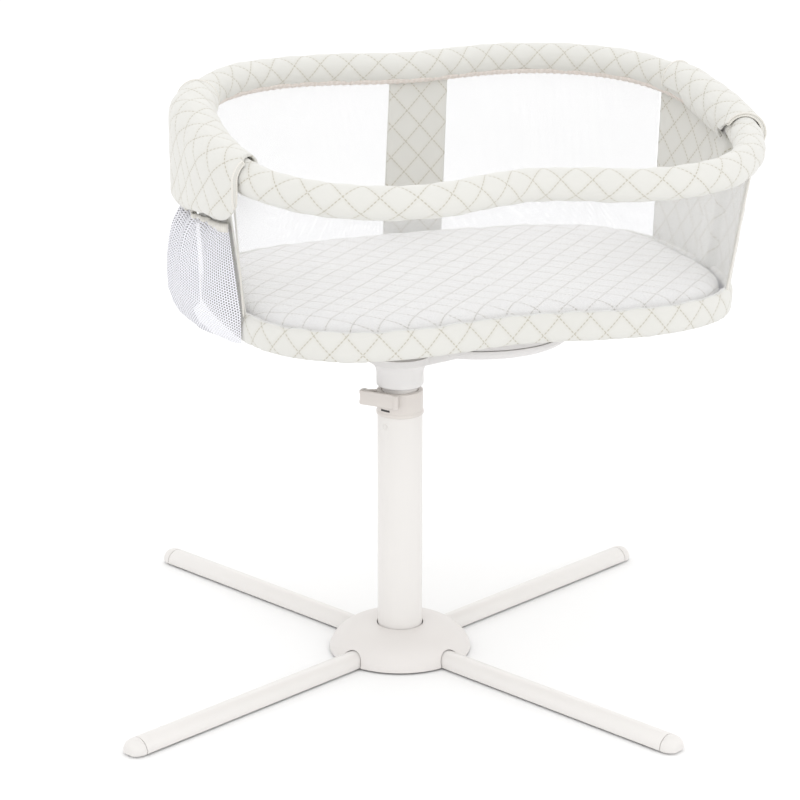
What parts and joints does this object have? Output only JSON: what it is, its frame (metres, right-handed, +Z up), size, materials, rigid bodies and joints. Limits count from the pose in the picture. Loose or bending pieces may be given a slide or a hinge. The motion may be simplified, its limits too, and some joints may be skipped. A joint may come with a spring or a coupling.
{
  "type": "bassinet on stand",
  "caption": "Quilted oval bassinet with net walls and a fold-down front, turning on an arm above a clamped telescopic column with a low radial-leg base.",
  "frame": {"origin": "on the floor, on the axis of the column; the undersides of the feet and of the base plate are at Z = 0", "axes": "+Z up along the column; the legs point along the four diagonals between X and Y; the viewer stands on the -Y side; the bed's length lies 18.6 degrees anticlockwise from +X and its folding wall faces -Y"},
  "size_m": [1.0079, 0.9592, 0.9077],
  "materials": {
    "frame_steel": "semi-gloss",
    "fixing_steel": "satin",
    "leg_paint": "satin warm white",
    "tube_paint": "satin warm white",
    "hub_plastic": "satin warm white",
    "cap_plastic": "satin warm white",
    "arm_plastic": "fine-grained white",
    "clamp_plastic": "satin warm light grey",
    "foot_rubber": "matt",
    "floor_board": "matt",
    "quilted_cotton": "quilted cotton, ivory with a tan diamond stitch",
    "sheet_cotton": "quilted cotton, ivory with a tan diamond stitch",
    "wall_net": "fine white net",
    "pocket_net": "coarse white net"
  },
  "bodies": {
    "stand": {"base_plate": "frame_steel", "hub_core": "frame_steel", "hub_cover": "hub_plastic", "leg_1": "leg_paint", "leg_cap_1": "cap_plastic", "foot_pad_1": "foot_rubber", "leg_screw_1": "fixing_steel", "leg_2": "leg_paint", "leg_cap_2": "cap_plastic", "foot_pad_2": "foot_rubber", "leg_screw_2": "fixing_steel", "leg_3": "leg_paint", "leg_cap_3": "cap_plastic", "foot_pad_3": "foot_rubber", "leg_screw_3": "fixing_steel", "leg_4": "leg_paint", "leg_cap_4": "cap_plastic", "foot_pad_4": "foot_rubber", "leg_screw_4": "fixing_steel", "column_outer": "leg_paint", "retaining_plug": "cap_plastic", "clamp_collar": "clamp_plastic", "clamp_screw": "fixing_steel", "lever_pin": "fixing_steel"},
    "lever": {"clamp_lever": "clamp_plastic"},
    "height_tube": {"column_inner": "tube_paint", "tube_plug": "arm_plastic"},
    "swivel_arm": {"swivel_arm": "arm_plastic", "swivel_bolt": "fixing_steel", "bearing_ring": "arm_plastic", "centre_bolt": "fixing_steel"},
    "bed": {"turntable_plate": "arm_plastic", "base_board": "floor_board", "frame_ring": "frame_steel", "band_cover": "quilted_cotton", "mattress": "sheet_cotton", "rear_bar": "frame_steel", "rear_padding": "quilted_cotton", "centre_panel": "quilted_cotton", "pocket": "pocket_net", "front_mesh": "wall_net", "end_post_left": "frame_steel", "end_post_right": "frame_steel", "end_panel_left": "quilted_cotton", "end_panel_right": "quilted_cotton", "rear_mesh_left": "wall_net", "rear_mesh_right": "wall_net", "hinge_bracket_left": "arm_plastic", "hinge_bracket_right": "arm_plastic", "hinge_pin_left": "fixing_steel", "hinge_pin_right": "fixing_steel", "hinge_spring_left": "fixing_steel", "hinge_spring_right": "fixing_steel", "hinge_pad_left": "quilted_cotton", "hinge_pad_right": "quilted_cotton"},
    "front_wall": {"front_bar": "frame_steel", "front_padding": "quilted_cotton", "hinge_knuckle_left": "frame_steel", "hinge_knuckle_right": "frame_steel"}
  },
  "joints": [
    {"name": "clamp_release", "type": "hinge", "parent": "stand", "child": "lever", "pos_m": [-0.0565, -0.0075, 0.433], "axis": [0, 0, -1], "range_deg": [0, 110]},
    {"name": "height_slide", "type": "slide", "parent": "stand", "child": "height_tube", "axis": [0, 0, 1], "range_m": [0, 0.25]},
    {"name": "column_swivel", "type": "hinge", "parent": "height_tube", "child": "swivel_arm", "pos_m": [0, 0, 0.478], "axis": [0, 0, 1], "continuous": true},
    {"name": "bed_turn", "type": "hinge", "parent": "swivel_arm", "child": "bed", "pos_m": [0.12772, 0.15221, 0.51], "axis": [0, 0, 1], "continuous": true},
    {"name": "front_wall_fold", "type": "hinge", "parent": "bed", "child": "front_wall", "pos_m": [0.12783, 0.11426, 0.8323], "axis": [0.9478, 0.319, 0], "range_deg": [0, 20], "stiffness_Nm_per_rad": 10, "springref_deg": -45.84, "deforming": ["front_mesh"]}
  ]
}
